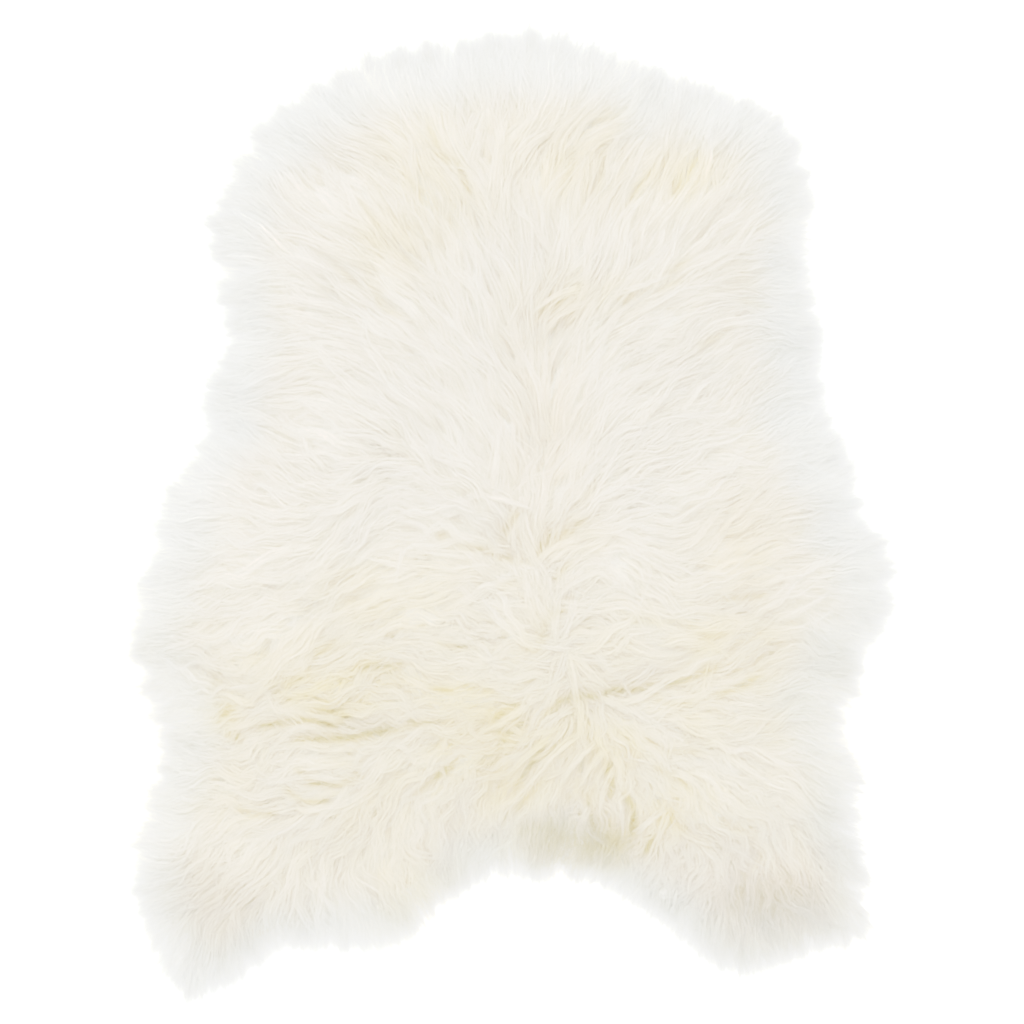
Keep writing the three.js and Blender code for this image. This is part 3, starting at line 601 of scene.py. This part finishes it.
def strands_of(lock, segments, kind="fleece"):
    """The ribbons of wool of those locks, one for each entry: their edges, normals, colours and lock."""
    count = lock.size
    station = np.linspace(0, 1, segments + 1) ** 0.9
    share_start = rng.uniform(0.25, 0.6, count) if kind == "wisp" else np.zeros(count)
    share_end = rng.uniform(*STRAND_END[kind], count)
    share_end = np.where(is_trimmed[lock] & (kind == "fleece"), np.maximum(share_end, 0.8), share_end)
    s = share_start[:, None] + station[None, :] * (np.minimum(share_end, 1) - share_start)[:, None]
    x, y = resample(mid_x[lock], s), resample(mid_y[lock], s)
    tangent_x, tangent_y = unit(np.gradient(x, axis=1), np.gradient(y, axis=1))
    extra = np.maximum(share_end - 1, 0)[:, None] * lock_length[lock][:, None] * station[None, :] ** 2
    x, y = x + extra * tangent_x, y + extra * tangent_y

    across = rng.uniform(-1, 1, count)
    width = lock_width[lock][:, None] * (1 - s) ** 0.8 + tip_width[lock][:, None] * s
    offset = across[:, None] * width / 2
    frizz_length = rng.uniform(*FRIZZ_LENGTH, count) * MM
    frizz_size = rng.uniform(*FRIZZ_SIZE, count) * MM * (1 + 1.2 * here_curly[lock])
    arc = station[None, :] * (lock_length[lock] * share_end)[:, None]
    frizz = np.sin(2 * math.pi * arc / frizz_length[:, None] + rng.uniform(0, 6.28, count)[:, None])
    stray = rng.standard_normal(count) * np.where(rng.random(count) < 0.08, 9, 1.6) * MM
    offset = offset + frizz * frizz_size[:, None] + stray[:, None] * station[None, :] ** 2
    x, y = x - offset * tangent_y, y + offset * tangent_x

    # no strand reaches far past the rim
    edge = -read_map(rug_edge, x, y) - MOST_PAST_RIM
    pull = np.maximum(edge, 0) * 0.85
    gx, gy = unit(read_map(edge_gx, x, y), read_map(edge_gy, x, y))
    x, y = x + gx * pull, y + gy * pull

    dome = np.sqrt(np.maximum(1 - across ** 2, 0.05)) * rng.random(count) ** 0.7
    lift = (dome * lock_depth[lock])[:, None] * (1 - 0.6 * station[None, :])
    sunk = rng.uniform(*ROOT_DEPTH[kind], count) * (1 - 0.8 * np.clip(here_spread[lock], 0, 1)) * MM
    rise = -sunk[:, None] * (1 - smoothstep(0, 0.3, station))[None, :]
    hump = lock_hump[lock][:, None] * np.sin(math.pi * station)[None, :]
    tip_lift = (rng.random(count) ** 3 * lock_tip_lift[lock])[:, None] * station[None, :] ** 3
    z = read_map(fleece_top, x, y) - 3 * MM + lock_layer[lock][:, None] + rise + lift + hump + tip_lift
    z = z - np.where(is_loose[lock], 0, CREASE_DEPTH)[:, None] * MM * read_map(crease, x, y)
    floor_gap = (0.5 + 3.2 * rng.random(count) ** 1.5)[:, None] * MM
    z = np.maximum(z, floor_gap + np.abs(lock_layer[lock])[:, None] * 0.35)
    covered = read_map(in_rug, x, y) > UNDERWOOL_INSET
    lowest = read_map(underwool_top, x, y) + rng.uniform(0.3, 2.5, count)[:, None] * MM
    z = np.where(covered & (station > 0.2)[None, :], np.maximum(z, lowest), z)

    middle = np.stack([x, y, z], -1)
    tangent = np.gradient(middle, axis=1)
    tangent /= np.linalg.norm(tangent, axis=-1, keepdims=True) + TINY
    up = np.stack([-0.6 * read_map(shade_x, x, y), -0.6 * read_map(shade_y, x, y), np.ones_like(x)], -1)
    side = np.cross(tangent, up)
    side /= np.linalg.norm(side, axis=-1, keepdims=True) + TINY
    up = np.cross(side, tangent)
    roll = rng.uniform(-0.4, 0.4, count)[:, None, None] + 0.25 * across[:, None, None]
    side, up = side * np.cos(roll) - up * np.sin(roll), up * np.cos(roll) + side * np.sin(roll)
    full_width = rng.uniform(*STRAND_WIDTH[kind], count) * MM
    taper = (0.6 + 0.4 * smoothstep(0, 0.25, station)) * (1 - station ** 3 * 0.9)
    half = (full_width[:, None] * taper[None, :] / 2)[..., None]
    points = np.stack([middle - side * half, middle + side * half], 2)
    points[..., 2] = np.maximum(points[..., 2], LEAST_HEIGHT)
    upright, turned = up * math.cos(ROUND), side * math.sin(ROUND)
    normals = np.stack([upright - turned, upright + turned], 2)

    # white wool, cooler at the rim, warmer in zones and at its root, darker and warmer in creases (painted
    # shade, partly the warmer wool of the depth), paler at its tip
    creamy = read_map(cream, x, y)[..., None]
    here_cream = creamy * (0.55 + 0.6 * read_map(blotch, x, y))[..., None]
    here_peach = read_map(peach, x, y)[..., None]
    tone = (0.6 + 0.8 * lock_tone[lock])[:, None, None]
    here_rim = (1 - smoothstep(8 * MM, 58 * MM, read_map(rug_edge, x, y)))[..., None]
    here_rim = here_rim * (1 - 0.6 * np.clip(creamy, 0, 1))
    root_part = (1 - smoothstep(0, 0.55, station))[None, :, None]
    tip_part = smoothstep(0.6, 1, station)[None, :, None]
    # the wool in creases is painted darker: painted shade, partly the warmer wool of the depth
    painted_crease_shade = read_map(crease, x, y)[..., None] * rng.uniform(0.5, 1.1, count)[:, None, None]
    painted_crease_shade = np.where(is_loose[lock], 0.1, 1)[:, None, None] * np.clip(painted_crease_shade, 0, 1.3)
    colour = WHITE_WOOL
    for tint, amount in (
        (RIM_WOOL, here_rim),
        (CREAM_WOOL, np.clip(here_cream * tone, 0, 1.2)),
        (PEACH_WOOL, np.clip(here_peach * tone, 0, 1.2)),
        (ROOT_WOOL, root_part * (0.35 + 0.5 * here_cream)),
        (CREASE_PAINTED_SHADE, painted_crease_shade),
        (TIP_WOOL, tip_part * (1 - np.clip(here_cream, 0, 1))),
    ):
        colour = colour + (tint - WHITE_WOOL) * amount
    shade = rng.uniform(0.97, 1.02, count) * (0.965 + 0.05 * lock_tone[lock])
    # each strand is painted darker in those zones: partly a stain, partly painted shade
    shade = shade[:, None] * (1 - read_map(stain_and_painted_shade, x, y))
    colour = np.clip(colour * shade[..., None], 0, MOST_COLOUR)
    return {
        "points": points.reshape(count, -1, 3),
        "normals": normals.reshape(count, -1, 3),
        "colours": np.repeat(colour, 2, axis=1),
        "lock": lock,
        "segments": segments,
    }


is_wavy = (here_curly > WAVY_FROM) & ~is_single
straight_locks = np.flatnonzero(~is_wavy & ~is_single & ~is_loose)
wavy_locks = np.flatnonzero(is_wavy & ~is_loose)
trimmed_locks = np.flatnonzero(is_trimmed & ~is_single)
strand_groups = [
    strands_of(np.repeat(straight_locks, STRANDS_A_LOCK), STRAIGHT_SEGMENTS),
    strands_of(np.repeat(wavy_locks, STRANDS_A_LOCK), WAVY_SEGMENTS),
    strands_of(np.repeat(np.flatnonzero(is_loose), LOOSE_STRANDS), WAVY_SEGMENTS),
    strands_of(np.flatnonzero(is_single), RIM_SEGMENTS, kind="rim"),
    strands_of(rng.choice(trimmed_locks, RIM_WISPS), RIM_SEGMENTS, kind="wisp"),
]


# ---- Materials ----

def new_material(name):
    material = bpy.data.materials.new(name)
    material.use_nodes = True
    tree = material.node_tree
    return material, tree, tree.nodes["Principled BSDF"]


def set_inputs(shader, settings):
    for name, value in settings.items():
        shader.inputs[name].default_value = value


def node_of(tree, kind, **settings):
    """A new node of that kind, with its inputs and properties set."""
    made = tree.nodes.new(kind)
    for name, value in settings.items():
        if name in made.inputs:
            made.inputs[name].default_value = value
        else:
            setattr(made, name, value)
    return made


def wire(source, output, target, to):
    """A link from a node's output to another node's input."""
    target.id_data.links.new(source.outputs[output], target.inputs[to])


def noise_node(tree, scale, detail, distortion=0.0):
    """Noise over the piece's own coordinates."""
    made = node_of(tree, "ShaderNodeTexNoise", Scale=scale, Detail=detail, Distortion=distortion)
    wire(node_of(tree, "ShaderNodeTexCoord"), "Object", made, "Vector")
    return made


def range_node(tree, noise, low, high):
    """A node that maps the noise, from 0 to 1, into that range."""
    made = node_of(tree, "ShaderNodeMapRange")
    set_inputs(made, {"To Min": low, "To Max": high})
    wire(noise, "Fac", made, "Value")
    return made


def ramp_node(tree, noise, start, start_colour, end, end_colour):
    """A ramp of the noise between two colours at two places."""
    made = node_of(tree, "ShaderNodeValToRGB")
    first, last = made.color_ramp.elements
    first.color, last.color = start_colour, end_colour
    first.position, last.position = start, end
    wire(noise, "Fac", made, "Fac")
    return made


def bump_of(tree, noise, shader, strength, distance):
    bump = node_of(tree, "ShaderNodeBump", Strength=strength, Distance=distance)
    wire(noise, "Fac", bump, "Height")
    wire(bump, "Normal", shader, "Normal")


def wool_material():
    material, tree, shader = new_material("wool")
    colour_node = node_of(tree, "ShaderNodeAttribute", attribute_name="wool_colour")
    fine = noise_node(tree, 420.0, 3.0)
    tone = range_node(tree, fine, 0.93, 1.03)
    mixed = node_of(tree, "ShaderNodeVectorMath", operation="SCALE")
    wire(colour_node, "Color", mixed, 0)
    wire(tone, "Result", mixed, "Scale")
    wire(mixed, "Vector", shader, "Base Color")
    rough = range_node(tree, fine, 0.5, 0.68)
    wire(rough, "Result", shader, "Roughness")
    set_inputs(shader, {
        "Specular IOR Level": 0.32,
        "Sheen Weight": 0.12,
        "Sheen Roughness": 0.45,
        "Sheen Tint": (1, 0.98, 0.94, 1),
    })
    through = node_of(tree, "ShaderNodeBsdfTranslucent")
    wire(mixed, "Vector", through, "Color")
    both = node_of(tree, "ShaderNodeMixShader", Fac=0.5)
    wire(shader, "BSDF", both, 1)
    wire(through, "BSDF", both, 2)
    wire(both, "Shader", tree.nodes["Material Output"], "Surface")
    return material


def underwool_material():
    material, tree, shader = new_material("underwool")
    curls = noise_node(tree, 160.0, 6.0, 1.6)
    ramp = ramp_node(tree, curls, 0.3, UNDERWOOL_DARK, 0.7, UNDERWOOL_PALE)
    wire(ramp, "Color", shader, "Base Color")
    bump_of(tree, curls, shader, 0.7, 0.003)
    set_inputs(shader, {"Roughness": 0.95, "Specular IOR Level": 0.1})
    return material


def hide_material():
    material, tree, shader = new_material("suede")
    clouds, nap = noise_node(tree, 9.0, 5.0), noise_node(tree, 700.0, 4.0)
    ramp = ramp_node(tree, clouds, 0.34, HIDE_DARK, 0.62, HIDE_PALE)
    wire(ramp, "Color", shader, "Base Color")
    bump_of(tree, nap, shader, 0.35, 0.0006)
    set_inputs(shader, {"Roughness": 0.9, "Sheen Weight": 0.3})
    return material


# ---- Pieces ----

def new_object(name, data):
    made = bpy.data.objects.new(name, data)
    scene.collection.objects.link(made)
    return made


def new_piece(name, mesh, material):
    mesh.materials.append(material)
    piece = new_object(name, mesh)
    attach(piece, "root")
    return piece


def mesh_of(name, points, faces, smooth=True):
    mesh = bpy.data.meshes.new(name)
    mesh.from_pydata([tuple(p) for p in points], [], [tuple(f) for f in faces])
    mesh.validate()
    mesh.polygons.foreach_set("use_smooth", [smooth] * len(mesh.polygons))
    mesh.update()
    return mesh


def strand_mesh(name, locks_in):
    """A mesh of those locks' ribbons, with colours, rounded normals and a map of cells."""
    parts = [(g, np.flatnonzero(locks_in[g["lock"]])) for g in strand_groups]
    total = sum(which.size for _, which in parts)
    columns = int(math.ceil(math.sqrt(total * 2.6)))
    rows = int(math.ceil(total / columns))
    points, normals, colours, quads, uvs = [], [], [], [], []
    first_point = first_cell = 0
    for group, which in parts:
        segments, count = group["segments"], which.size
        points.append(group["points"][which].reshape(-1, 3))
        normals.append(group["normals"][which].reshape(-1, 3))
        colours.append(group["colours"][which].reshape(-1, 3))
        start = (np.arange(count) * (segments + 1) * 2)[:, None] + np.arange(segments)[None, :] * 2
        corners = np.stack([start, start + 1, start + 3, start + 2], -1).reshape(-1, 4)
        quads.append(corners + first_point)
        cell = np.arange(count) + first_cell
        station = np.linspace(0.06, 0.94, segments + 1)
        u = ((cell % columns)[:, None, None] + np.array([0.2, 0.8]) + 0 * station[:, None]) / columns
        v = ((cell // columns)[:, None, None] + station[:, None] + np.zeros(2)) / rows
        uvs.append(np.stack([u, v], -1).reshape(-1, 2)[corners.ravel()])
        first_point += count * (segments + 1) * 2
        first_cell += count
    points, normals, colours, quads = (np.concatenate(a) for a in (points, normals, colours, quads))
    mesh = bpy.data.meshes.new(name)
    mesh.vertices.add(len(points))
    mesh.vertices.foreach_set("co", points.astype(np.float32).ravel())
    mesh.loops.add(quads.size)
    mesh.loops.foreach_set("vertex_index", quads.astype(np.int32).ravel())
    mesh.polygons.add(len(quads))
    mesh.polygons.foreach_set("loop_start", np.arange(0, quads.size, 4, dtype=np.int32))
    mesh.polygons.foreach_set("use_smooth", np.ones(len(quads), bool))
    mesh.update(calc_edges=True)
    rgba = np.ones((len(points), 4), np.float32)
    rgba[:, :3] = colours
    mesh.attributes.new("wool_colour", "FLOAT_COLOR", "POINT").data.foreach_set("color", rgba.ravel())
    cells = mesh.uv_layers.new(name="OFBake", do_init=False)
    cells.data.foreach_set("uv", np.concatenate(uvs).astype(np.float32).ravel())
    custom = mesh.attributes.new("custom_normal", "FLOAT_VECTOR", "POINT")
    custom.data.foreach_set("vector", normals.astype(np.float32).ravel())
    return mesh


# each piece of the fleece is a band across the rug, and all have about as many triangles
wool = wool_material()
lock_triangles = sum(
    np.bincount(g["lock"], minlength=ALL_LOCKS) * 2 * g["segments"] for g in strand_groups
)
lock_order = np.argsort(-root_y)
ordered = lock_triangles[lock_order]
share_before = (np.cumsum(ordered) - ordered) / ordered.sum()
band_of_lock = np.empty(ALL_LOCKS, int)
band_of_lock[lock_order] = (share_before * len(FLEECE_PIECES)).astype(int)
for band, label in enumerate(FLEECE_PIECES):
    piece = new_piece(f"fleece_{label}", strand_mesh(f"fleece_{label}", band_of_lock == band), wool)
    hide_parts("sheepskin")


def underwool_piece():
    """The dense wool under the locks: a closed body with a lumpy top."""
    every = slice(None, None, UNDERWOOL_STEP)
    around = [np.roll(underwool_top, (a, b), (0, 1)) for a in (-1, 0, 1) for b in (-1, 0, 1)]
    top, x, y = np.minimum.reduce(around)[every, every], grid_x[every, every], grid_y[every, every]
    keep = in_rug[every, every] > UNDERWOOL_INSET
    cells = keep[:-1, :-1] & keep[1:, :-1] & keep[:-1, 1:] & keep[1:, 1:]
    used = np.zeros(x.shape, bool)
    for a in (0, 1):
        for b in (0, 1):
            used[a:used.shape[0] - 1 + a, b:used.shape[1] - 1 + b] |= cells
    count = int(used.sum())
    number = np.zeros(x.shape, int)
    number[used] = np.arange(count)
    upper = np.stack([x[used], y[used], top[used]], 1)
    lower = np.stack([x[used], y[used], np.full(count, UNDERWOOL_FOOT)], 1)
    i, j = np.nonzero(cells)
    quads = np.stack([number[i, j], number[i + 1, j], number[i + 1, j + 1], number[i, j + 1]], 1)
    edges = np.concatenate([quads[:, [k, (k + 1) % 4]] for k in range(4)])
    seen = {tuple(e) for e in edges.tolist()}
    rim = [(a, b) for a, b in seen if (b, a) not in seen]
    faces = quads.tolist() + (quads[:, ::-1] + count).tolist()
    faces += [(b, a, a + count, b + count) for a, b in sorted(rim)]
    mesh = mesh_of("underwool", np.concatenate([upper, lower]), faces)
    return new_piece("underwool", mesh, underwool_material())


underwool = underwool_piece()
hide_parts("sheepskin")


def hide_loop():
    """The outline of the solid's flat underside, as points in order."""
    key = {}
    merged = [key.setdefault(tuple(round(c, 5) for c in v.co), len(key)) for v in node.data.vertices]
    where = list(key)
    sides = set()
    for face in node.data.polygons:
        corners = [merged[v] for v in face.vertices]
        if all(where[c][2] < 0.05 * MM for c in corners) and len(set(corners)) == len(corners):
            sides.update(zip(corners, corners[1:] + corners[:1]))
    after = {a: b for a, b in sides if (b, a) not in sides}
    loops = []
    while after:
        loop = [min(after)]
        while after.get(loop[-1], loop[0]) != loop[0]:
            loop.append(after.pop(loop[-1]))
        after.pop(loop[-1], None)
        loops.append(loop)
    return np.array([where[k][:2] for k in max(loops, key=len)])


# The hide's rounded edge: how far each ring stands out, and its height, in millimetres
HIDE_RINGS = ((-0.5, 0.0), (0.0, 0.5), (0.1, 1.2), (-0.4, 1.9))

def hide_piece():
    """The tanned hide: a thin flat sheet with the outline of the solid's underside."""
    loop = hide_loop()
    twice_area = np.sum(loop[:, 0] * np.roll(loop[:, 1], -1) - np.roll(loop[:, 0], -1) * loop[:, 1])
    if twice_area < 0:
        loop = loop[::-1]
    direction = np.roll(loop, -1, 0) - np.roll(loop, 1, 0)
    outward = np.stack([direction[:, 1], -direction[:, 0]], 1)
    outward /= np.linalg.norm(outward, axis=1, keepdims=True)
    n = len(loop)
    points = np.concatenate([
        np.column_stack([loop + outward * grow * MM, np.full(n, height * MM)])
        for grow, height in HIDE_RINGS
    ])
    rings = len(HIDE_RINGS)
    faces = [list(range(n))[::-1], list(range((rings - 1) * n, rings * n))]
    for ring in range(rings - 1):
        for k in range(n):
            a, b = ring * n + k, ring * n + (k + 1) % n
            faces.append([a, b, b + n, a + n])
    mesh = mesh_of("hide", points, faces, smooth=False)
    piece = new_piece("hide", mesh, hide_material())
    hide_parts("sheepskin")
    return piece


hide = hide_piece()

# ---- Floor, light and camera ----

far, low = 6, -0.4 * MM
corners = [(-far, -far, low), (far, -far, low), (far, far, low), (-far, far, low)]
floor = new_object("floor", mesh_of("floor", corners, [(0, 1, 2, 3)], smooth=False))
floor_material, _, floor_shader = new_material("pale_floor")
set_inputs(floor_shader, {"Base Color": (0.93, 0.93, 0.93, 1), "Roughness": 0.9, "Specular IOR Level": 0.0})
floor.data.materials.append(floor_material)

# wool scatters light many times: past the first bounces it gets the room's light straight
cycles = scene.cycles
cycles.use_fast_gi = True
cycles.fast_gi_method = "REPLACE"
cycles.ao_bounces_render = 2
cycles.ao_bounces = 2
cycles.max_bounces = 8
cycles.transmission_bounces = 5
cycles.filter_width = 2.2
world = scene.world or bpy.data.worlds.new("studio")
scene.world = world
world.light_settings.distance = 6 * MM
world.use_nodes = True
set_inputs(world.node_tree.nodes["Background"], {"Color": (1, 1, 1, 1), "Strength": 1.03})

# one broad soft light from beyond the neck, a little from the left
lamp = bpy.data.lights.new("key", "SUN")
lamp.energy = 1.7
lamp.angle = math.radians(60)
lamp_object = new_object("key", lamp)
lamp_object.rotation_euler = (-Vector((-0.35, 1.0, 0.95))).to_track_quat("-Z", "Y").to_euler()

camera_data = bpy.data.cameras.new("camera")
camera_data.sensor_width = 36
camera_data.lens = 60
camera = new_object("camera", camera_data)
view_width = PICTURE_SIDE * PIXEL
view_x, view_y = from_picture(PICTURE_SIDE / 2, PICTURE_SIDE / 2)
view_away = camera_data.lens / camera_data.sensor_width * view_width
camera.location = (float(view_x), float(view_y), 0.03 + view_away)
scene.camera = camera

# a high-key picture: the tones of white wool lie close together, below a white ground
TONES = ((0.25, 0.60), (0.5, 0.795), (0.7, 0.875), (0.92, 0.945))
view_settings = scene.view_settings
view_settings.view_transform = "Standard"
view_settings.use_curve_mapping = True
tones = view_settings.curve_mapping
tones.white_level = (1.0, 1.0, 1.0)
for place, level in TONES:
    tones.curves[3].points.new(place, level)
# and its half tones are a little warm
tones.curves[2].points.new(0.85, 0.83)
tones.update()
